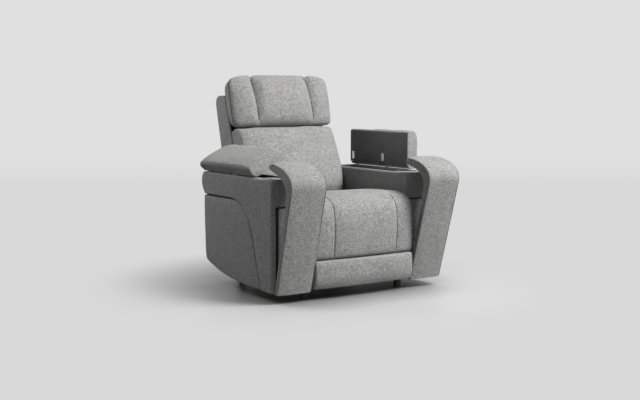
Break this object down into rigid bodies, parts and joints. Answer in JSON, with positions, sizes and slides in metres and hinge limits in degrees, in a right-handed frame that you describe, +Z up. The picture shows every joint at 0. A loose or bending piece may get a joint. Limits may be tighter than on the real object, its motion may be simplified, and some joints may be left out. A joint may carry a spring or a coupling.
{
  "type": "cinema recliner seat",
  "caption": "Powered cinema recliner with scroll-front arms, lidded arm storage, cup holders, a channelled headrest and a fold-out chaise footrest.",
  "frame": {"origin": "on the floor, under the centre of the part's bounding box", "axes": "+Z up, the seat faces -Y, and +X is towards the sitter's left arm"},
  "size_m": [1.036, 1.116, 1.1011],
  "materials": {
    "fabric_front": "heathered light grey woven upholstery",
    "fabric_side": "heathered grey woven upholstery of the arms' sides and the back",
    "fabric_dark": "dark charcoal lining cloth",
    "frame_steel": "black powder coat",
    "spring_steel": "bare spring steel",
    "hinge_steel": "bright zinc plate",
    "bright_metal": "polished",
    "plywood": "raw birch plywood",
    "black_plastic": "moulded, fine grain",
    "glide_plastic": "moulded"
  },
  "bodies": {
    "carcass": {"base_frame": "frame_steel", "feet": "glide_plastic", "rear_panel": "fabric_side", "power_inlet": "black_plastic", "power_supply": "black_plastic", "seat_frame": "frame_steel", "seat_springs": "spring_steel", "seat_cushion": "fabric_front", "arm_frame_right": "plywood", "arm_frame_left": "plywood", "arm_outer_panel_right": "fabric_side", "arm_outer_panel_left": "fabric_side", "arm_side_pad_right": "fabric_side", "arm_side_pad_left": "fabric_side", "arm_inner_panel_right": "fabric_front", "arm_inner_panel_left": "fabric_front", "arm_front_pad_right": "fabric_front", "arm_front_pad_left": "fabric_front", "arm_front_panel_right": "fabric_side", "arm_front_panel_left": "fabric_side", "arm_rear_panel_right": "fabric_side", "arm_rear_panel_left": "fabric_side", "arm_scroll_right": "fabric_front", "arm_scroll_left": "fabric_front", "arm_top_deck_right": "fabric_front", "arm_top_deck_left": "fabric_front", "cup_holder_right": "bright_metal", "cup_holder_left": "bright_metal", "storage_tub_right": "black_plastic", "storage_tub_left": "black_plastic", "lid_brackets": "hinge_steel", "footrest_hinge": "hinge_steel", "footrest_actuator": "black_plastic", "recline_actuator": "black_plastic", "control_panel": "black_plastic"},
    "lid_right": {"lid_hinges_right": "hinge_steel", "lid_board_right": "fabric_dark", "lid_pad_right": "fabric_front"},
    "lid_left": {"lid_hinges_left": "hinge_steel", "lid_board_left": "fabric_dark", "lid_pad_left": "fabric_front"},
    "footrest": {"footrest_hinge_leaf": "hinge_steel", "footrest_board": "plywood", "footrest_brackets": "frame_steel", "chaise_pad": "fabric_front", "front_band": "fabric_front"},
    "torque_tube": {"torque_tube": "frame_steel"},
    "links": {"footrest_links": "hinge_steel"},
    "footrest_carriage": {"footrest_carriage": "hinge_steel"},
    "recline_carriage": {"recline_carriage": "hinge_steel"},
    "back": {"back_frame": "frame_steel", "back_panel": "plywood", "back_shell": "fabric_side", "back_cushion": "fabric_front"},
    "headrest": {"headrest_frame": "frame_steel", "headrest_cushion": "fabric_front"},
    "button_footrest_up": {"button_footrest_up": "bright_metal"},
    "button_footrest_down": {"button_footrest_down": "bright_metal"},
    "button_head_forward": {"button_head_forward": "bright_metal"},
    "button_head_back": {"button_head_back": "bright_metal"}
  },
  "joints": [
    {"name": "lid_right_hinge", "type": "hinge", "parent": "carcass", "child": "lid_right", "pos_m": [-0.48, 0.0735, 0.624], "axis": [0, -1, 0], "range_deg": [-26, 64]},
    {"name": "lid_left_hinge", "type": "hinge", "parent": "carcass", "child": "lid_left", "pos_m": [0.48, 0.0735, 0.624], "axis": [0, 1, 0], "range_deg": [-90, 0]},
    {"name": "back_recline", "type": "hinge", "parent": "carcass", "child": "back", "pos_m": [0, 0.262, 0.338], "axis": [-1, 0, 0], "range_deg": [0, 35]},
    {"name": "headrest_tilt", "type": "hinge", "parent": "back", "child": "headrest", "pos_m": [0, 0.32168, 0.81891], "axis": [1, 0, 0], "range_deg": [0, 25]},
    {"name": "footrest_lift", "type": "hinge", "parent": "carcass", "child": "footrest", "pos_m": [0, -0.43, 0.458], "axis": [-1, 0, 0], "range_deg": [0, 85]},
    {"name": "torque_tube_turn", "type": "hinge", "parent": "carcass", "child": "torque_tube", "pos_m": [0, -0.25, 0.328], "axis": [-1, 0, 0], "range_deg": [0, 85]},
    {"name": "links_swing", "type": "hinge", "parent": "torque_tube", "child": "links", "pos_m": [0, -0.16, 0.218], "axis": [-1, 0, 0], "range_deg": [-85, 0]},
    {"name": "footrest_carriage_slide", "type": "slide", "parent": "carcass", "child": "footrest_carriage", "axis": [0, -1, 0], "range_m": [0, 0.0966]},
    {"name": "recline_carriage_slide", "type": "slide", "parent": "carcass", "child": "recline_carriage", "axis": [0, -1, 0], "range_m": [0, 0.0545]},
    {"name": "button_footrest_up_press", "type": "slide", "parent": "carcass", "child": "button_footrest_up", "axis": [-1, 0, 0], "range_m": [0, 0.0012], "stiffness_N_per_m": 900},
    {"name": "button_footrest_down_press", "type": "slide", "parent": "carcass", "child": "button_footrest_down", "axis": [-1, 0, 0], "range_m": [0, 0.0012], "stiffness_N_per_m": 900},
    {"name": "button_head_forward_press", "type": "slide", "parent": "carcass", "child": "button_head_forward", "axis": [-1, 0, 0], "range_m": [0, 0.0012], "stiffness_N_per_m": 900},
    {"name": "button_head_back_press", "type": "slide", "parent": "carcass", "child": "button_head_back", "axis": [-1, 0, 0], "range_m": [0, 0.0012], "stiffness_N_per_m": 900}
  ],
  "couplings": [
    {"joint": "torque_tube_turn", "follows": "footrest_lift", "ratio": 1},
    {"joint": "links_swing", "follows": "footrest_lift", "ratio": -1},
    {"joint": "footrest_carriage_slide", "follows": "footrest_lift", "m_per_rad": 0.0651},
    {"joint": "recline_carriage_slide", "follows": "back_recline", "m_per_rad": 0.0891}
  ]
}
